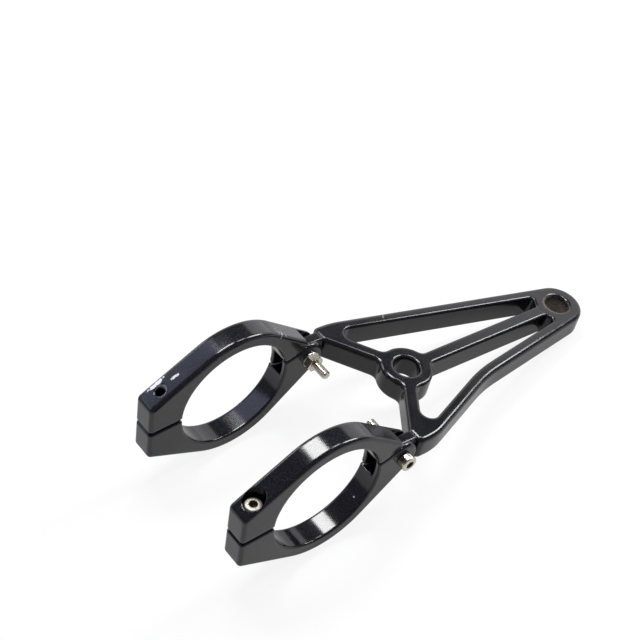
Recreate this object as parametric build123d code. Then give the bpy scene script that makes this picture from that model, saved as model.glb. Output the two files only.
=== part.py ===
from build123d import *
from math import acos, asin, atan2, cos, degrees, hypot, radians, sin, sqrt
import os

# Headlight mounting bracket: a flat arm with two hinged two-piece fork clamps.
# Sizes in millimetres. +X runs from the clamps to the arm's tip, +Y along the fork,
# +Z up with the bracket lying on a table.

# Fork clamp
fork_diameter = 50.0
clamp_wall = 6.0
clamp_width = 10.4
hinge_reach = 12.5
knuckle_radius = 7.0
lug_reach = 15.5
lug_half_height = 14.0
lug_corner_radius = 2.5
split_gap = 1.2
clamp_edge_round = 1.6
bore_edge_round = 0.9
split_edge_round = 0.9

# Interleaved hinge of the two clamp halves and the arm's tongue
knuckle_root_half_height = 4.2
seam_gap = 1.0
nose_setback = 2.5
tongue_width = 4.6
tongue_side_clearance = 0.6
pivot_clearance = 0.08
shoulder_gap = 0.6

# Arm
arm_thickness = 10.8
hinge_to_boss = 30.4
boss_to_tip = 88.8
ear_spacing = 61.4
ear_outer_reach = 4.9
tip_radius = 11.3
tip_pad_radius = 10.4
boss_radius = 11.2
boss_hole_diameter = 11.0
tip_hole_diameter = 10.5
rail_width = 5.2
spar_width = 6.0
ear_arm_width = 5.8
scallop_apex = 27.4
straight_rail_bend = 16.6
straight_bend_radius = 40.0
waist_rail_bend = 17.4
waist_bend_radius = 30.0
waist_from_hinge = 59.6
waist_half_width = 19.8
waist_radius = 70.0
ear_corner_radius = 2.5
scallop_radius = 4.0
window_ear_radius = 4.0
window_boss_radius = 3.0
window_tip_radius = 1.6
arm_edge_round = 1.9
window_edge_round = 1.1
hole_edge_round = 1.4
tongue_edge_round = 0.5

# Fasteners: M4 closing screws and pivot bolts
screw_diameter = 4.0
head_diameter = 7.0
head_height = 4.0
head_edge_round = 0.4
socket_across_flats = 3.0
socket_depth = 2.0
end_chamfer = 0.5
thread_clearance = 0.05
closing_screw_length = 20.0
closing_screw_inset = 8.0
counterbore_diameter = 8.8
counterbore_seat = 11.0
screw_hole_clearance = 0.3
thread_mouth_chamfer = 0.5
pivot_bolt_length = 22.0
spring_washer_outer_diameter = 7.6
spring_washer_bore_clearance = 0.15
spring_washer_thickness = 1.0
spring_washer_slit = 1.0
spring_washer_slit_slant = 30.0
nut_across_flats = 7.0
nut_height = 3.2
nut_chamfer = 0.45

# Lying pose: lift of the clamps' lug ends above level
clamp_tilt = 3.5

# Sizes that follow from the ones above
bore_radius = fork_diameter / 2
ring_radius = bore_radius + clamp_wall
pivot_distance = bore_radius + hinge_reach
lug_end = bore_radius + lug_reach
half_gap = split_gap / 2
half_width = clamp_width / 2
slot_width = tongue_width + 2 * tongue_side_clearance
closing_screw_x = -(bore_radius + closing_screw_inset)
pivot_hole_radius = screw_diameter / 2 + pivot_clearance
screw_hole_radius = screw_diameter / 2 + screw_hole_clearance
tapped_radius = screw_diameter / 2 + thread_clearance
shoulder_x = knuckle_radius + shoulder_gap
ear_y = ear_spacing / 2
ear_outer_y = ear_y + ear_outer_reach
tongue_inner_y = ear_y - tongue_width / 2
tip_x = hinge_to_boss + boss_to_tip
far = 4 * (boss_to_tip + pivot_distance)


def polar(radius, angle, centre_x=0.0):
    return (centre_x + radius * cos(angle), radius * sin(angle))


def rounded(sketch, place, radius):
    corner = sketch.vertices().sort_by_distance((place[0], place[1], 0))[0]
    return fillet(corner, radius)


# Outline of one clamp half, drawn in the plane across the fork with the bore at the origin:
# lug, straight run to the ring, ring, straight run to the knuckle, knuckle, back to the bore.
lug_corner = (-lug_end, lug_half_height)
lug_run = atan2(lug_half_height, -lug_end) - acos(ring_radius / hypot(*lug_corner))
hinge_run = acos((ring_radius - knuckle_radius) / pivot_distance)
root_x = sqrt(bore_radius**2 - knuckle_root_half_height**2)
root_span = hypot(pivot_distance - root_x, knuckle_root_half_height)
root_lean = atan2(knuckle_root_half_height, pivot_distance - root_x)
root_angle = radians(180) - root_lean - acos(knuckle_radius / root_span)
root_tangent = polar(knuckle_radius, root_angle, pivot_distance)
bore_start = -asin(knuckle_root_half_height / bore_radius)
bore_stop = radians(180) - asin(half_gap / bore_radius)
bore_middle = (bore_start + bore_stop) / 2
gap_corner = polar(bore_radius, bore_stop)
ring_middle = (lug_run + hinge_run) / 2

half_outline = Wire(
    [
        Line((-lug_end, half_gap), lug_corner),
        Line(lug_corner, polar(ring_radius, lug_run)),
        ThreePointArc(
            polar(ring_radius, lug_run),
            polar(ring_radius, ring_middle),
            polar(ring_radius, hinge_run),
        ),
        Line(
            polar(ring_radius, hinge_run),
            polar(knuckle_radius, hinge_run, pivot_distance),
        ),
        ThreePointArc(
            polar(knuckle_radius, hinge_run, pivot_distance),
            polar(knuckle_radius, (hinge_run - root_angle) / 2, pivot_distance),
            (root_tangent[0], -root_tangent[1]),
        ),
        Line((root_tangent[0], -root_tangent[1]), (root_x, -knuckle_root_half_height)),
        ThreePointArc(
            (root_x, -knuckle_root_half_height),
            polar(bore_radius, bore_middle),
            gap_corner,
        ),
        Line(gap_corner, (-lug_end, half_gap)),
    ]
)
half_face = rounded(make_face(half_outline.edges()), lug_corner, lug_corner_radius)
half_blank = extrude(Plane.XZ * half_face, half_width, both=True)

# Soft edges: the outer outline, then the bore, then all round the face of the split
side_edges = half_blank.edges().filter_by(lambda e: abs(e.center().Y) > half_width - 0.01)
bore_edges = side_edges.filter_by(
    lambda e: e.geom_type == GeomType.CIRCLE and abs(e.radius - bore_radius) < 0.01
)
split_edges = side_edges.filter_by(
    lambda e: e.geom_type == GeomType.LINE and abs(e.center().Z - half_gap) < 0.01
)
root_edges = side_edges.filter_by(
    lambda e: e.geom_type == GeomType.LINE and e.center().Z < 0
)
outer_edges = side_edges - bore_edges - split_edges - root_edges
half_blank = fillet(outer_edges, clamp_edge_round)
bore_edges = half_blank.edges().filter_by(
    lambda e: e.geom_type == GeomType.CIRCLE
    and abs(e.radius - bore_radius) < 0.01
    and abs(e.center().Y) > half_width - 0.01
)
half_blank = fillet(bore_edges, bore_edge_round)
split_face = half_blank.faces().filter_by(
    lambda f: f.geom_type == GeomType.PLANE and abs(f.center().Z - half_gap) < 0.01
)[0]
half_blank = fillet(split_face.outer_wire().edges(), split_edge_round)

# Hinge relief: two thirds of the width is cut back for the arm's tongue and the other half's
# knuckle, so two halves turned over on each other interleave on one bolt.
seam_lean = atan2(
    root_tangent[1] - knuckle_root_half_height, root_tangent[0] - root_x
)
seam_rise = seam_gap / cos(seam_lean)


def seam_height(x):
    return knuckle_root_half_height + seam_rise + (x - root_x) * sin(seam_lean) / cos(seam_lean)


nose_x = pivot_distance - nose_setback
relief = Polygon(
    (0, -far),
    (far, -far),
    (far, far),
    (nose_x, far),
    (nose_x, seam_height(nose_x)),
    (0, seam_height(0)),
    align=None,
)
relief_cut = extrude(
    Plane.XZ.offset(-slot_width / 2) * relief, slot_width / 2 + clamp_width
)
pivot_hole = Pos(pivot_distance, 0, 0) * Rot(90, 0, 0) * Cylinder(pivot_hole_radius, 2 * clamp_width)
half_blank = half_blank - relief_cut - pivot_hole

# Half with the counterbored lug, and half with the tapped lug turned over against it
seat_plane = Pos(closing_screw_x, 0, counterbore_seat)
counterbore = seat_plane * Cylinder(
    counterbore_diameter / 2, ring_radius, align=(Align.CENTER, Align.CENTER, Align.MIN)
)
screw_hole = Pos(closing_screw_x, 0, 0) * Cylinder(screw_hole_radius, far)
screw_half = half_blank - counterbore - screw_hole
tapped_hole = Pos(closing_screw_x, 0, 0) * Cylinder(tapped_radius, far)
thread_half = Rot(180, 0, 0) * half_blank - tapped_hole
tapped_wall = thread_half.faces().sort_by_distance((closing_screw_x, 0, -lug_half_height / 2))[0]
tapped_mouth = tapped_wall.edges().filter_by(
    lambda e: e.geom_type != GeomType.LINE and e.center().Z < -lug_half_height / 2
)
thread_half = chamfer(tapped_mouth, thread_mouth_chamfer)


# Socket head screw along +Z with the underside of the head at the origin, head above
def socket_screw(length):
    head = Cylinder(
        head_diameter / 2, head_height, align=(Align.CENTER, Align.CENTER, Align.MIN)
    )
    head = fillet(head.edges().group_by(Axis.Z)[-1], head_edge_round)
    socket = Pos(0, 0, head_height) * extrude(
        RegularPolygon(socket_across_flats / 2, 6, major_radius=False), -socket_depth
    )
    shank = Cylinder(
        screw_diameter / 2, length, align=(Align.CENTER, Align.CENTER, Align.MAX)
    )
    shank = chamfer(shank.edges().group_by(Axis.Z)[0], end_chamfer)
    return head - socket + shank


closing_screw = Pos(closing_screw_x, 0, counterbore_seat) * socket_screw(closing_screw_length)

# Pivot stack along Y: the bolt's head on the -Y face, spring washer and nut on the +Y face
along_pivot = Pos(pivot_distance, 0, 0) * Rot(90, 0, 0)
pivot_bolt = along_pivot * Pos(0, 0, half_width) * socket_screw(pivot_bolt_length)
spring_ring = Circle(spring_washer_outer_diameter / 2) - Circle(
    screw_diameter / 2 + spring_washer_bore_clearance
)
spring_ring = extrude(spring_ring, spring_washer_thickness)
slit = (
    Pos(0, spring_washer_outer_diameter / 2, spring_washer_thickness / 2)
    * Rot(0, spring_washer_slit_slant, 0)
    * Box(spring_washer_slit, spring_washer_outer_diameter, 4 * spring_washer_thickness)
)
nut_seat = half_width + spring_washer_thickness
spring_washer = along_pivot * Pos(0, 0, -nut_seat) * (spring_ring - slit)
nut_blank = extrude(RegularPolygon(nut_across_flats / 2, 6, major_radius=False), nut_height)
nut_corner_radius = nut_across_flats / 2 / cos(radians(30))
nut_turning = Cylinder(
    nut_corner_radius, nut_height, align=(Align.CENTER, Align.CENTER, Align.MIN)
)
nut_rims = nut_turning.edges().filter_by(GeomType.CIRCLE)
nut_turning = chamfer(nut_rims, nut_chamfer)
nut_hole = Cylinder(tapped_radius, far)
nut_body = (nut_blank & nut_turning) - nut_hole
pivot_nut = along_pivot * Pos(0, 0, -nut_seat - nut_height) * nut_body

# Arm outline in plan, with the hinge axis on X = 0: a straight rail on the +Y side and a waisted
# rail on the -Y side run from the ears to the round tip.
def tip_tangent(point, side):
    reach = hypot(tip_x - point[0], point[1])
    bearing = atan2(point[1], point[0] - tip_x)
    return polar(tip_radius, bearing - side * acos(tip_radius / reach), tip_x)


straight_bend = (straight_rail_bend, ear_outer_y)
waist = (waist_from_hinge, -waist_half_width)
waist_bend = (waist_rail_bend, -ear_outer_y)
rail_blank = Polygon(
    (-hinge_to_boss, ear_outer_y),
    (-hinge_to_boss, -ear_outer_y),
    waist_bend,
    waist,
    tip_tangent(waist, -1),
    (tip_x, 0),
    tip_tangent(straight_bend, 1),
    straight_bend,
    align=None,
)
rail_blank = rail_blank + Pos(tip_x, 0) * Circle(tip_radius)
rail_blank = rounded(rail_blank, straight_bend, straight_bend_radius)
rail_blank = rounded(rail_blank, waist, waist_radius)
rail_blank = rounded(rail_blank, waist_bend, waist_bend_radius)

# Ear arms fan out from the boss: the wedge between them is open, a wider wedge bounds the windows
ear_arm_lean = atan2(tongue_inner_y, scallop_apex - shoulder_x)
window_apex = scallop_apex + ear_arm_width / sin(ear_arm_lean)


def wedge(apex):
    back = far * cos(ear_arm_lean) / sin(ear_arm_lean)
    return Polygon((apex, 0), (apex - back, far), (apex - back, -far), align=None)


boss_disc = Pos(hinge_to_boss, 0) * Circle(boss_radius)
behind_shoulder = Pos(shoulder_x, 0) * Rectangle(far, far, align=(Align.MAX, Align.CENTER))
arm_outline = rail_blank - behind_shoulder - wedge(scallop_apex) + boss_disc
for side in (1, -1):
    arm_outline = rounded(arm_outline, (shoulder_x, side * ear_outer_y), ear_corner_radius)
    scallop_corner = (hinge_to_boss - boss_radius, side * boss_radius)
    arm_outline = rounded(arm_outline, scallop_corner, scallop_radius)

# Windows: what the rails, the ear arms, the boss, the spar and the tip leave open
tip_pad = Pos(tip_x, 0) * Circle(tip_pad_radius)
spar = Pos((hinge_to_boss + tip_x) / 2, 0) * Rectangle(boss_to_tip, spar_width)
window_field = offset(rail_blank, -rail_width, kind=Kind.INTERSECTION)
window_field = window_field - wedge(window_apex) - boss_disc - spar - tip_pad
beyond_boss = Pos(hinge_to_boss, 0) * Rectangle(far, far, align=(Align.MIN, Align.CENTER))
ear_rounded = offset(offset(window_field, -window_ear_radius), window_ear_radius)
window_field = ear_rounded + (window_field & beyond_boss)
for side in (1, -1):
    spar_edge = side * spar_width / 2
    window_field = rounded(window_field, (tip_x, side * tip_radius), window_tip_radius)
    window_field = rounded(window_field, (tip_x - tip_pad_radius, spar_edge), window_tip_radius)
    window_field = rounded(window_field, (hinge_to_boss + boss_radius, spar_edge), window_boss_radius)

# Plate with rounded edges all round except on the two shoulders behind the tongues
plate = extrude(arm_outline - window_field, arm_thickness / 2, both=True)
plate_faces = plate.faces().sort_by(Axis.Z)
window_rims = [e for f in (plate_faces[0], plate_faces[-1]) for w in f.inner_wires() for e in w.edges()]
plate = fillet(window_rims, window_edge_round)
plate_faces = plate.faces().sort_by(Axis.Z)
outer_rims = [e for f in (plate_faces[0], plate_faces[-1]) for e in f.outer_wire().edges()]
outer_rims = [e for e in outer_rims if e.center().X > shoulder_x + 0.01]
plate = fillet(outer_rims, arm_edge_round)
for hole_x, hole_diameter in ((hinge_to_boss, boss_hole_diameter), (tip_x, tip_hole_diameter)):
    plate = plate - Pos(hole_x, 0, 0) * Cylinder(hole_diameter / 2, far)
    hole_rims = [
        e
        for e in plate.edges().filter_by(GeomType.CIRCLE)
        if abs(e.radius - hole_diameter / 2) < 0.01
        and abs(e.arc_center.X - hole_x) < 0.01
    ]
    plate = fillet(hole_rims, hole_edge_round)

# Tongues: round-ended, one on each ear, bored for the pivot bolts
tongue_face = Circle(arm_thickness / 2) + Rectangle(
    shoulder_x, arm_thickness, align=(Align.MIN, Align.CENTER)
)
tongue = extrude(Plane.XZ * tongue_face, tongue_width / 2, both=True)
tongue_rims = [
    e
    for e in tongue.edges()
    if abs(e.center().Y) > tongue_width / 2 - 0.01 and e.center().X < shoulder_x - 0.01
]
tongue = fillet(tongue_rims, tongue_edge_round)
tongue = tongue - Rot(90, 0, 0) * Cylinder(pivot_hole_radius, far)
arm = plate + Pos(0, ear_y, 0) * tongue + Pos(0, -ear_y, 0) * tongue

# Lying pose: the clamps' rings and the arm's tip touch the table
tip_run = tip_x + tip_radius - arm_edge_round
tip_drop = arm_thickness / 2 - arm_edge_round
hinge_height = ring_radius - arm_edge_round - pivot_distance * sin(radians(clamp_tilt))
arm_pitch = degrees(asin(hinge_height / hypot(tip_run, tip_drop)) - atan2(tip_drop, tip_run))

# Assembly: the rear clamp is the front clamp turned over, so both bolt heads face outward
clamp_pieces = {
    "screw_half": screw_half,
    "thread_half": thread_half,
    "closing_screw": closing_screw,
    "pivot_bolt": pivot_bolt,
    "spring_washer": spring_washer,
    "pivot_nut": pivot_nut,
}
on_hinge = Rot(0, clamp_tilt, 0) * Pos(-pivot_distance, 0, 0)
front_place = Pos(0, -ear_y, 0) * on_hinge
rear_place = Pos(0, ear_y, 0) * on_hinge * Rot(180, 0, 0)
nodes = {"arm": Rot(0, arm_pitch, 0) * arm}
for name, piece in clamp_pieces.items():
    nodes["front_" + name] = front_place * piece
    nodes["rear_" + name] = rear_place * piece

# The origin is the middle of the footprint, on the table
whole = Compound([piece for piece in nodes.values()]).bounding_box()
to_origin = Pos(-whole.center().X, -whole.center().Y, -whole.min.Z)
os.makedirs("parts", exist_ok=True)
for name, piece in nodes.items():
    export_step(to_origin * piece, "parts/" + name + ".step")
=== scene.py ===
import math
import bpy
import bmesh
from mathutils import Matrix, Vector


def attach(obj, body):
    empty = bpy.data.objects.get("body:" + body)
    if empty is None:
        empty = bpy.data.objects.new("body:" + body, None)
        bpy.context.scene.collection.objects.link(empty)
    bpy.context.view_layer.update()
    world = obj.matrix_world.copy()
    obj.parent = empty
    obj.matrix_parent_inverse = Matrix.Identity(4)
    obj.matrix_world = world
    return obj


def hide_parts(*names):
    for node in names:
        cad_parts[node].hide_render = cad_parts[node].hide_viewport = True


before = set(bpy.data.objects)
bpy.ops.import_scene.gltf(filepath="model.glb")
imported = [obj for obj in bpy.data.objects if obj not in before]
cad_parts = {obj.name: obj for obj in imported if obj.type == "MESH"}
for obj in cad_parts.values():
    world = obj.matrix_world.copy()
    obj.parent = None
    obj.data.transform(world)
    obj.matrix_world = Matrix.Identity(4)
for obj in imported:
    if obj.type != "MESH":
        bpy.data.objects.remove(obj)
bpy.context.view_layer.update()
print("frame loaded:", len(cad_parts), "nodes")

mm = 0.001


def linear(hexColour):  # sRGB hex to linear RGBA
    parts = [int(hexColour[i:i + 2], 16) / 255 for i in (1, 3, 5)]
    return tuple(p / 12.92 if p <= 0.04045 else ((p + 0.055) / 1.055) ** 2.4 for p in parts) + (1.0,)


def addNode(tree, kind, settings=None, links=None):  # a node, its settings, and the sockets that feed it
    node = tree.nodes.new(kind)
    for key, value in (settings or {}).items():
        if isinstance(key, str) and hasattr(node, key):
            setattr(node, key, value)
        else:
            node.inputs[key].default_value = value
    for key, socket in (links or {}).items():
        tree.links.new(socket, node.inputs[key])
    return node


def newMaterial(name):  # an empty material, its tree, and its object coordinates
    material = bpy.data.materials.new(name)
    material.use_nodes = True
    tree = material.node_tree
    tree.nodes.clear()
    return material, tree, addNode(tree, "ShaderNodeTexCoord").outputs["Object"]


def finishMaterial(tree, shader):
    addNode(tree, "ShaderNodeOutputMaterial", None, {"Surface": shader.outputs[0]})


noiseRange = {"From Min": 0.3, "From Max": 0.7}  # where most of a noise's values lie

# Gloss black paint, sprayed and baked on machined clamps and on the cast arm: a deep black that mirrors the room, with
# a fine sprayed grain, and on the casting a slow waviness. Both carry the marks below, some of them painted highlights
# and shade.
clampCoat = {
    "name": "gloss_black_paint_on_machined_aluminium",
    "dark": "#08080b",
    "light": "#2f2f3a",  # flecks of the grain
    "roughness": (0.1, 0.16),
    "grain": 0.45,  # mm, drawn coarser than the real grain so that it shows
    "grainDepth": 0.008,  # mm
    "wave": 9.0,  # mm, slow waviness of the surface under the paint
    "waveDepth": 0.01,
    "edge": 0.8,  # mm, how far the paint rounds a sharp edge
}
armCoat = {
    "name": "gloss_black_paint_on_cast_aluminium",
    "dark": "#09090c",
    "light": "#22222b",
    "roughness": (0.12, 0.2),
    "grain": 0.55,
    "grainDepth": 0.004,
    "wave": 3.4,  # mm, the casting's own unevenness breaks up the lines of light along its edges
    "waveDepth": 0.009,
    "edge": 1.1,
}
bothCoats = {
    "ior": 1.5,
    "cloud": 14.0,  # mm, patches of duller and brighter gloss
    "flecks": (0.5, 0.75),  # part of the grain that turns light
    "edgeSamples": 8,
    "tear": 1.1,  # mm, size of the tears in a mark's outline
    "tearGain": 4.0,
    "markFade": (1.05, 0.8),  # a mark fades in between these shares of its size
    "markRoughness": 0.5,
}

# marks in the paint, real wear and painted light and shade: centre and half sizes in mm, turn about Z in degrees, how
# ragged, how sparse, and colour
wearAndPaintedLight = {
    # painted shade: the dent has no shape of its own, only a darker, rougher patch
    "painted shade of the dent beside the chip": {"at": (-88.3, 33.6, 53.5), "half": (2.1, 1.1, 3.0), "turn": 10,
                             "ragged": 0.2, "sparse": 0, "colour": "#020203"},
    # a chip to bare metal, its white also a painted glint on the dent's rim
    "chip with the painted glint of the dent's rim": {"at": (-87.6, 31.2, 53.8), "half": (1.8, 0.6, 3.0), "turn": -4,
             "ragged": 0.5, "sparse": 0, "colour": "#d9d9de"},
    # painted highlight: a white streak where the far edge's rounding mirrors the light
    "painted highlight on the far edge by the tapped hole": {"at": (-94.2, 34.1, 50.8), "half": (4.6, 0.9, 3.0), "turn": 2,
                                     "ragged": 0.45, "sparse": 0.0, "colour": "#e4e5ec"},
    "pits near the hinge": {"at": (-39.7, 27.4, 52.0), "half": (2.4, 1.5, 2.6), "turn": 0,
                            "ragged": 1.6, "sparse": 0.55, "colour": "#85858f"},
    "scuff on the straight rail": {"at": (15.4, 28.0, 26.7), "half": (0.35, 1.5, 1.5), "turn": -32,
                                   "ragged": 0.4, "sparse": 0, "colour": "#63636b"},
    "speck in the front bore": {"at": (-44.9, -31.5, 13.3), "half": (0.4, 0.4, 0.8), "turn": 0,
                                "ragged": 0.2, "sparse": 0, "colour": "#b4b4bc"},
    # painted shade: the bore's walls take the brownish grey of the shaded floor seen through it
    "painted shade in the tip's bore": {"at": (92.0, 0.0, 7.0), "half": (5.9, 5.9, 60.0), "turn": 0,
                               "ragged": 0.1, "sparse": 0, "colour": "#6a5f54"},
    "bare mouth of the tapped hole": {"at": (-94.4, 30.7, 51.1), "half": (2.5, 2.5, 2.4), "turn": 0,
                                      "ragged": 0.06, "sparse": 0, "colour": "#a9abb2"},
}


def blackCoat(look):
    both = bothCoats
    material, tree, place = newMaterial(look["name"])
    grain = addNode(tree, "ShaderNodeTexNoise",
                    {"Scale": 1 / (look["grain"] * mm), "Detail": 2.0, "Roughness": 0.6}, {"Vector": place})
    cloud = addNode(tree, "ShaderNodeTexNoise",
                    {"Scale": 1 / (both["cloud"] * mm), "Detail": 3.0}, {"Vector": place})
    wave = addNode(tree, "ShaderNodeTexNoise",
                   {"Scale": 1 / (look["wave"] * mm), "Detail": 1.0}, {"Vector": place})
    tears = addNode(tree, "ShaderNodeTexNoise",
                    {"Scale": 1 / (both["tear"] * mm), "Detail": 3.0}, {"Vector": place})
    flecks = addNode(tree, "ShaderNodeMapRange",
                     {"From Min": both["flecks"][0], "From Max": both["flecks"][1]}, {"Value": grain.outputs["Fac"]})
    colour = addNode(tree, "ShaderNodeMix",
                     {"data_type": "RGBA", 6: linear(look["dark"]), 7: linear(look["light"])},
                     {0: flecks.outputs[0]}).outputs[2]
    rough = addNode(tree, "ShaderNodeMapRange",
                    {**noiseRange, "To Min": look["roughness"][0], "To Max": look["roughness"][1]},
                    {"Value": cloud.outputs["Fac"]}).outputs[0]
    for mark in wearAndPaintedLight.values():  # each mark is an ellipsoid with a ragged edge
        local = addNode(tree, "ShaderNodeMapping",
                        {"vector_type": "TEXTURE", "Location": [c * mm for c in mark["at"]],
                         "Rotation": (0, 0, math.radians(mark["turn"])), "Scale": [h * mm for h in mark["half"]]},
                        {"Vector": place})
        reach = addNode(tree, "ShaderNodeVectorMath", {"operation": "LENGTH"}, {0: local.outputs[0]})
        torn = addNode(tree, "ShaderNodeMath",
                       {"operation": "MULTIPLY_ADD", 1: mark["ragged"] * both["tearGain"],
                        2: mark["sparse"] - mark["ragged"] * both["tearGain"] / 2},
                       {0: tears.outputs["Fac"]})
        edge = addNode(tree, "ShaderNodeMath", {"operation": "ADD"}, {0: reach.outputs["Value"], 1: torn.outputs[0]})
        mask = addNode(tree, "ShaderNodeMapRange",
                       {"From Min": both["markFade"][0], "From Max": both["markFade"][1], "To Min": 0.0, "To Max": 1.0},
                       {"Value": edge.outputs[0]})
        colour = addNode(tree, "ShaderNodeMix", {"data_type": "RGBA", 7: linear(mark["colour"])},
                         {0: mask.outputs[0], 6: colour}).outputs[2]
        rough = addNode(tree, "ShaderNodeMix", {"data_type": "FLOAT", 3: both["markRoughness"]},
                        {0: mask.outputs[0], 2: rough}).outputs[0]
    eased = addNode(tree, "ShaderNodeBevel", {"samples": both["edgeSamples"], "Radius": look["edge"] * mm})
    bump = addNode(tree, "ShaderNodeBump", {"Strength": 1.0, "Distance": look["waveDepth"] * mm},
                   {"Height": wave.outputs["Fac"], "Normal": eased.outputs[0]})
    bump = addNode(tree, "ShaderNodeBump", {"Strength": 1.0, "Distance": look["grainDepth"] * mm},
                   {"Height": grain.outputs["Fac"], "Normal": bump.outputs["Normal"]})
    shader = addNode(tree, "ShaderNodeBsdfPrincipled", {"IOR": both["ior"]},
                     {"Base Color": colour, "Roughness": rough, "Normal": bump.outputs["Normal"]})
    finishMaterial(tree, shader)
    return material


# Stainless steel fasteners, turned and cold headed, bright with a warm tint and fine drawn marks; oil and dust lie
# brown in the sockets. The same dull brown is painted on the heads of the closing screws as the shade of their
# counterbores.
steelLook = {
    "name": "bright_stainless_steel",
    "dark": "#c4bcad",
    "light": "#dfd9cd",
    "roughness": (0.13, 0.22),
    "marks": 0.5,  # mm between drawn marks, coarser than real so that they show
    "markDepth": 0.002,  # mm
    "markStrength": 0.4,
    # brown of the dust in the sockets, also painted as shade on the closing screws' heads
    "dustAndShade": "#5a5145",
    "dustAndShadeRoughness": 0.6,
}


def brightSteel(look):
    material, tree, place = newMaterial(look["name"])
    noise = addNode(tree, "ShaderNodeTexNoise", {"Scale": 1 / (look["marks"] * mm), "Detail": 4.0}, {"Vector": place})
    # dust in the sockets, and painted shade on the closing screws' heads
    dustAndShade = addNode(tree, "ShaderNodeAttribute", {"attribute_name": "dustAndShade"})
    colour = addNode(tree, "ShaderNodeMix",
                     {"data_type": "RGBA", 6: linear(look["dark"]), 7: linear(look["light"])},
                     {0: noise.outputs["Fac"]})
    colour = addNode(tree, "ShaderNodeMix", {"data_type": "RGBA", 7: linear(look["dustAndShade"])},
                     {0: dustAndShade.outputs["Fac"], 6: colour.outputs[2]})
    rough = addNode(tree, "ShaderNodeMapRange",
                    {**noiseRange, "To Min": look["roughness"][0], "To Max": look["roughness"][1]},
                    {"Value": noise.outputs["Fac"]})
    rough = addNode(tree, "ShaderNodeMix", {"data_type": "FLOAT", 3: look["dustAndShadeRoughness"]},
                    {0: dustAndShade.outputs["Fac"], 2: rough.outputs[0]})
    clean = addNode(tree, "ShaderNodeMath", {"operation": "SUBTRACT", 0: 1.0}, {1: dustAndShade.outputs["Fac"]})
    bump = addNode(tree, "ShaderNodeBump", {"Strength": look["markStrength"], "Distance": look["markDepth"] * mm},
                   {"Height": noise.outputs["Fac"]})
    shader = addNode(tree, "ShaderNodeBsdfPrincipled", None,
                     {"Base Color": colour.outputs[2], "Metallic": clean.outputs[0], "Roughness": rough.outputs[0],
                      "Normal": bump.outputs["Normal"]})
    finishMaterial(tree, shader)
    return material


clampPaint = blackCoat(clampCoat)
armPaint = blackCoat(armCoat)
steel = brightSteel(steelLook)
for name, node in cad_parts.items():
    paint = armPaint if name == "arm" else clampPaint if name.endswith("_half") else steel
    for materialSlot in node.material_slots:
        materialSlot.material = paint
print("materials:", clampPaint.name, armPaint.name, steel.name)

# Fasteners, drawn in millimetres about Z, with the seat at zero and the head above it.
roundSides = 36
hexCuts = roundSides // 6 - 1  # gives a hexagon as many edges as a round loop
weld = 0.002
cutTolerance = 0.0005
sharpAngle = 38  # degrees, shading breaks at sharper edges


def ring(bm, radius, height, sides=roundSides, cuts=0):  # a closed loop of edges
    known = set(bm.edges)
    bmesh.ops.create_circle(bm, segments=sides, radius=radius, matrix=Matrix.Translation((0, 0, height)))
    if cuts:
        bmesh.ops.subdivide_edges(bm, edges=[e for e in bm.edges if e not in known], cuts=cuts)
    return [e for e in bm.edges if e not in known]


def hexRing(bm, flats, height):  # the same for a hexagon, by its width across flats
    return ring(bm, flats / 2 / math.cos(math.pi / 6), height, 6, hexCuts)


def loopVerts(edges):
    return {v for e in edges for v in e.verts}


def stretch(bm, loops, closed=False):  # skins a row of loops
    pairs = list(zip(loops, loops[1:])) + ([(loops[-1], loops[0])] if closed else [])
    for low, high in pairs:
        bmesh.ops.bridge_loops(bm, edges=low + high)


def bevelSharp(bm, edges, offset, segments):
    bmesh.ops.bevel(bm, geom=edges, offset=offset, offset_type="OFFSET", segments=segments, profile=0.5,
                    affect="EDGES", material=-1)


screwLook = {
    "headRadius": 3.5, "headHeight": 4.0, "headRound": 0.45, "headSegments": 4, "headLip": 0.25,
    "dome": 0.28, "neckDrop": 0.06,  # fall of the top towards its edge, and of the neck below the seat
    "socket": 3.0, "socketDepth": 2.0, "socketMouth": 1.95, "socketLead": 0.14,  # flats, depth, mouth's radius, bevel
    "drillRadius": 0.25, "drillDepth": 0.6,  # point of the drill under the socket
    "shankRadius": 1.96, "shankOverlap": 0.4,  # the shank ends inside the thread
    "threadRadius": 1.96, "leadRadius": 1.35, "pitch": 0.7, "facets": 32, "spareTurns": 3,
    "threadDepth": 0.58, "flanks": (0.1, 0.42, 0.54, 0.86),  # shares of the pitch: rise, crest from and to, fall
}


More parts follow.
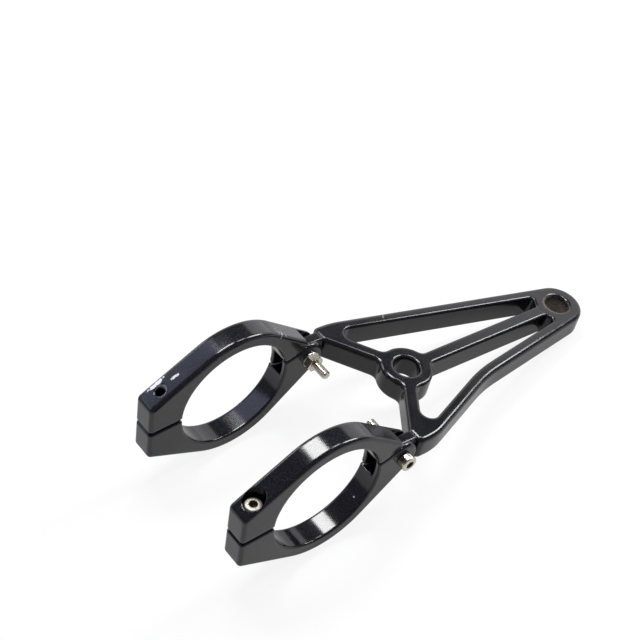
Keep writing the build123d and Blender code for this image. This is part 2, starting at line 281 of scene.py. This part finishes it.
def thread(bm, look, low, high):  # a helical thread between two heights, capped, with a lead-in at its low end
    before = set(bm.verts)
    crest = look["threadRadius"]
    root = crest - look["threadDepth"] * look["pitch"]
    rise, crestFrom, crestTo, fall = look["flanks"]
    profile = [(root, 0.0), (root, rise), (crest, crestFrom), (crest, crestTo), (root, fall), (root, 1.0)]
    start = low - look["spareTurns"] / 2 * look["pitch"]
    points = [bm.verts.new((r, 0, start + part * look["pitch"])) for r, part in profile]
    lines = [bm.edges.new(pair) for pair in zip(points, points[1:])]
    turns = math.ceil((high - low) / look["pitch"]) + look["spareTurns"]
    bmesh.ops.spin(bm, geom=points + lines, axis=(0, 0, 1), cent=(0, 0, 0), angle=math.tau * turns,
                   steps=look["facets"] * turns, dvec=(0, 0, look["pitch"] / look["facets"]))
    made = [v for v in bm.verts if v not in before]
    bmesh.ops.remove_doubles(bm, verts=made, dist=weld)
    for height, way in ((low, -1), (high, 1)):
        made = [v for v in bm.verts if v not in before]
        geom = made + list({e for v in made for e in v.link_edges}) + list({f for v in made for f in v.link_faces})
        cut = bmesh.ops.bisect_plane(bm, geom=geom, dist=cutTolerance, plane_co=(0, 0, height), plane_no=(0, 0, way),
                                     clear_outer=True)["geom_cut"]
        bmesh.ops.contextual_create(bm, geom=[g for g in cut if isinstance(g, bmesh.types.BMEdge)])
    for v in bm.verts:
        if v not in before:  # lead-in at 45 degrees
            limit = look["leadRadius"] + v.co.z - low
            across = v.co.xy.length
            if across > limit:
                v.co.xy *= limit / across


def socketScrew(length, threadLength, headShade):  # how much painted shade, in the dust's dull brown, lies on the top of the head, for the counterbore it sits in
    look = screwLook
    bm = bmesh.new()
    dustAndShade = bm.verts.layers.float.new("dustAndShade")
    top = look["headHeight"]
    floorHeight = top - look["socketDepth"]
    mouth = ring(bm, look["socketMouth"], top)
    hexTop = hexRing(bm, look["socket"], top - look["socketLead"])
    hexLow = hexRing(bm, look["socket"], floorHeight)
    point = ring(bm, look["drillRadius"], floorHeight - look["drillDepth"])
    for v in loopVerts(hexTop + hexLow + point):
        v[dustAndShade] = 1.0
    crown = ring(bm, look["headRadius"], top - look["dome"])
    # painted shade on the top of the head, in the dust's colour
    for v in loopVerts(mouth + crown):
        v[dustAndShade] = headShade
    waist = ring(bm, look["headRadius"], look["headLip"])
    lip = ring(bm, look["headRadius"] - look["headLip"], 0)
    neck = ring(bm, look["shankRadius"], -look["neckDrop"])
    foot = ring(bm, look["shankRadius"], threadLength - length - look["shankOverlap"])
    stretch(bm, [point, hexLow, hexTop, mouth, crown, waist, lip, neck, foot])
    bmesh.ops.contextual_create(bm, geom=point)
    bmesh.ops.contextual_create(bm, geom=foot)
    bevelSharp(bm, crown, look["headRound"], look["headSegments"])
    thread(bm, look, -length, threadLength - length)
    return bm


nutLook = {"flats": 7.0, "height": 3.2, "bore": 1.72, "mouth": 2.2, "mouthDepth": 0.45,
           "crown": 3.42, "dish": 0.06, "chamfer": 30, "turn": 30}  # chamfer and turn in degrees


def hexNut():
    look = nutLook
    bm = bmesh.new()
    loops = []
    for height, into in ((0.0, 1), (look["height"], -1)):
        bore = ring(bm, look["bore"], height + into * look["mouthDepth"])
        mouth = ring(bm, look["mouth"], height + into * look["dish"])
        crown = ring(bm, look["crown"], height)
        flats = hexRing(bm, look["flats"], height)
        for v in loopVerts(flats):  # the chamfer lies lowest at the corners
            v.co.z += into * (v.co.xy.length - look["crown"]) * math.tan(math.radians(look["chamfer"]))
        loops.append([bore, mouth, crown, flats])
    stretch(bm, loops[0] + loops[1][::-1], closed=True)
    bmesh.ops.rotate(bm, verts=bm.verts, cent=(0, 0, 0), matrix=Matrix.Rotation(math.radians(look["turn"]), 3, "Z"))
    return bm


washerLook = {"inner": 2.05, "outer": 3.8, "thick": 1.0, "gap": 14, "steps": 48,  # gap in degrees
              "round": 0.14, "roundSegments": 2, "roundFrom": 0.9}  # edges sharper than this, in radians, are rounded


def springWasher():
    look = washerLook
    bm = bmesh.new()
    corners = [(look["inner"], 0), (look["outer"], 0), (look["outer"], look["thick"]), (look["inner"], look["thick"])]
    section = bm.faces.new([bm.verts.new((r, 0, z)) for r, z in corners])
    bmesh.ops.spin(bm, geom=[section], axis=(0, 0, 1), cent=(0, 0, 0), steps=look["steps"],
                   angle=math.radians(360 - look["gap"]))
    bmesh.ops.recalc_face_normals(bm, faces=bm.faces)
    sharp = [e for e in bm.edges if e.calc_face_angle(0) > look["roundFrom"]]
    bevelSharp(bm, sharp, look["round"], look["roundSegments"])
    return bm


def toObject(bm, name, material):
    mesh = bpy.data.meshes.new(name)
    bm.to_mesh(mesh)
    bm.free()
    mesh.materials.append(material)
    made = bpy.data.objects.new(name, mesh)
    bpy.context.collection.objects.link(made)
    return made


def addPiece(bm, name, body, place):  # scales to metres, puts the piece in place and rides it on its body
    bmesh.ops.recalc_face_normals(bm, faces=bm.faces)
    bmesh.ops.transform(bm, matrix=Matrix.Scale(mm, 4) @ place, verts=bm.verts)
    piece = toObject(bm, name, steel)
    piece.data.shade_smooth()
    piece.data.set_sharp_from_angle(angle=math.radians(sharpAngle))
    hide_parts(name.removesuffix("_detail"))
    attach(piece, body)
    print("piece", name, len(piece.data.polygons), "faces")


# where each clamp's fasteners go, in millimetres in the frame
pivot = {"x": -25.187, "z": 28.7107, "head": 35.9, "washer": 25.5, "nut": 24.5,
         "length": 22.0, "threaded": 12.0, "headShade": 0.0}
# the closing screws sit in counterbores, and their heads get painted shade
closing = {"bore": (-62.617, 31.0), "tilt": 3.5, "lug": -33.0, "seat": 11.0,
           "length": 20.0, "threaded": 12.0, "headShade": 0.5}
clampSides = {"front": -1, "rear": 1}
clampMiddle = 30.7

for side, way in clampSides.items():
    body = side + "_clamp"
    outward = Matrix.Rotation(math.radians(-90 * way), 4, "X")  # turns the drawing's Z to the bolt head's side
    inward = Matrix.Rotation(math.radians(90 * way), 4, "X")
    onPivot = {key: Matrix.Translation((pivot["x"], way * pivot[key], pivot["z"])) for key in ("head", "washer", "nut")}
    addPiece(socketScrew(pivot["length"], pivot["threaded"], pivot["headShade"]), side + "_pivot_bolt_detail", body,
             onPivot["head"] @ outward)
    addPiece(springWasher(), side + "_spring_washer_detail", body, onPivot["washer"] @ inward)
    addPiece(hexNut(), side + "_pivot_nut_detail", body, onPivot["nut"] @ inward)
    onClamp = (Matrix.Translation((closing["bore"][0], way * clampMiddle, closing["bore"][1]))
               @ Matrix.Rotation(math.radians(closing["tilt"]), 4, "Y"))
    # the rear clamp is the front one turned over
    turned = Matrix.Rotation(math.pi, 4, "X") if side == "rear" else Matrix.Identity(4)
    addPiece(socketScrew(closing["length"], closing["threaded"], closing["headShade"]), side + "_closing_screw_detail", body,
             onClamp @ Matrix.Translation((closing["lug"], 0, -way * closing["seat"])) @ turned)

# White paper floor and low white backdrop: their own shading for shadows, mixed with plain
# white for what the camera and the reflections see.
stageLook = {
    "paper": "#f2f2f2", "fibre": 2.0, "fibreDepth": 0.02, "fibreStrength": 0.1,  # mm
    "floor": 3.0,  # metres, half its width
    "radius": 0.45, "height": 0.288, "from": -8, "to": 122, "steps": 40,  # backdrop in metres, and degrees about Z
}
floorGlow = {"seen": 0.88, "mirrored": 0.75, "seenWhite": 1.0, "mirroredWhite": 0.66}
backdropGlow = {"seen": 1.0, "mirrored": 1.0, "seenWhite": 1.0, "mirroredWhite": 1.35}


def paper(name, glow):
    look = stageLook
    material, tree, place = newMaterial(name)
    fibre = addNode(tree, "ShaderNodeTexNoise", {"Scale": 1 / (look["fibre"] * mm), "Detail": 2.0}, {"Vector": place})
    bump = addNode(tree, "ShaderNodeBump", {"Strength": look["fibreStrength"], "Distance": look["fibreDepth"] * mm},
                   {"Height": fibre.outputs["Fac"]})
    shader = addNode(tree, "ShaderNodeBsdfDiffuse", {"Color": linear(look["paper"])},
                     {"Normal": bump.outputs["Normal"]})
    path = addNode(tree, "ShaderNodeLightPath")
    for who, ray in (("seen", "Is Camera Ray"), ("mirrored", "Is Glossy Ray")):
        white = addNode(tree, "ShaderNodeEmission", {"Strength": glow[who + "White"]})
        share = addNode(tree, "ShaderNodeMath", {"operation": "MULTIPLY", 1: glow[who]}, {0: path.outputs[ray]})
        shader = addNode(tree, "ShaderNodeMixShader", None,
                         {0: share.outputs[0], 1: shader.outputs[0], 2: white.outputs[0]})
    finishMaterial(tree, shader)
    return material


bm = bmesh.new()
bmesh.ops.create_grid(bm, x_segments=1, y_segments=1, size=stageLook["floor"])
floor = toObject(bm, "floor", paper("white_paper_floor", floorGlow))

bm = bmesh.new()
foot = bm.verts.new((stageLook["radius"], 0, 0))
head = bm.verts.new((stageLook["radius"], 0, stageLook["height"]))
edge = bm.edges.new((foot, head))
bmesh.ops.rotate(bm, verts=[foot, head], cent=(0, 0, 0),
                 matrix=Matrix.Rotation(math.radians(stageLook["from"]), 3, "Z"))
bmesh.ops.spin(bm, geom=[foot, head, edge], axis=(0, 0, 1), cent=(0, 0, 0), steps=stageLook["steps"],
               angle=math.radians(stageLook["to"] - stageLook["from"]))
backdrop = toObject(bm, "backdrop", paper("white_paper_backdrop", backdropGlow))
backdrop.visible_camera = False  # it is there for the reflections

roomLook = {"tint": "#eef0ff", "strength": 0.22, "seen": "#ffffff", "seenStrength": 1.0}
world = bpy.data.worlds.new("studio")
bpy.context.scene.world = world
world.use_nodes = True
room = world.node_tree
room.nodes.clear()
path = addNode(room, "ShaderNodeLightPath")
dim = addNode(room, "ShaderNodeBackground", {"Color": linear(roomLook["tint"]), "Strength": roomLook["strength"]})
white = addNode(room, "ShaderNodeBackground", {"Color": linear(roomLook["seen"]), "Strength": roomLook["seenStrength"]})
mixed = addNode(room, "ShaderNodeMixShader", None,
                {0: path.outputs["Is Camera Ray"], 1: dim.outputs[0], 2: white.outputs[0]})
addNode(room, "ShaderNodeOutputWorld", None, {"Surface": mixed.outputs[0]})

# soft boxes: place, what each faces and the run of its first side in metres, sizes, brightness
alongX = (1, 0, 0)
alongY = (0, 1, 0)
bracket = (0, 0, 0.03)
softBoxes = {
    "overhead_softbox": {"place": (0.041, 0.29, 0.72), "aim": bracket, "along": alongX,
                         "size": (0.32, 0.17), "bright": 22},
    "right_softbox": {"place": (0.72, 0.0, 0.57), "aim": bracket, "along": alongY,
                      "size": (0.26, 0.42), "bright": 20},
    "back_softbox": {"place": (-0.167, 0.784, 0.439), "aim": bracket, "along": alongX,
                     "size": (0.26, 0.36), "bright": 8},
    "low_softbox": {"place": (0.44, 0.762, 0.217), "aim": bracket, "along": alongX,
                    "size": (0.3, 0.3), "bright": 16},
    "high_softbox": {"place": (0.365, 0.163, 0.723), "aim": bracket, "along": alongX,
                     "size": (0.16, 0.16), "bright": 14},
    "side_strip": {"place": (-0.17, 0.191, 0.265), "aim": (0.044, 0.012, 0.155), "along": (0.6, 0.254, 0.758),
                   "size": (0.41, 0.05), "bright": 1.7, "tint": "#d3dbff"},
}
for name, box in softBoxes.items():
    data = bpy.data.lights.new(name, "AREA")
    data.shape = "RECTANGLE"
    data.color = linear(box.get("tint", "#ffffff"))[:3]
    data.size, data.size_y = box["size"]
    data.energy = box["bright"] * math.pi * box["size"][0] * box["size"][1]
    lamp = bpy.data.objects.new(name, data)
    away = (Vector(box["place"]) - Vector(box["aim"])).normalized()  # a lamp shines down its own Z
    across = away.cross(Vector(box["along"])).normalized()
    lamp.matrix_world = (Matrix.Translation(box["place"])
                         @ Matrix((across.cross(away), across, away)).transposed().to_4x4())
    bpy.context.collection.objects.link(lamp)
print("stage and lights:", ", ".join(softBoxes))

camera = {"place": (-0.317587, -0.309769, 0.559489), "forward": (0.436594, 0.494738, -0.751412),
          "right": (0.795979, -0.601679, 0.066336), "lens": 95.206, "sensor": 36}  # metres, and mm for the last two
cameraData = bpy.data.cameras.new("camera")
cameraData.sensor_width = camera["sensor"]
cameraData.lens = camera["lens"]
cameraObject = bpy.data.objects.new("camera", cameraData)
forward = Vector(camera["forward"]).normalized()
right = Vector(camera["right"]).normalized()
cameraObject.matrix_world = (Matrix.Translation(camera["place"])
                             @ Matrix((right, right.cross(forward), -forward)).transposed().to_4x4())
bpy.context.collection.objects.link(cameraObject)
bpy.context.scene.camera = cameraObject

bpy.context.scene.view_settings.view_transform = "Standard"
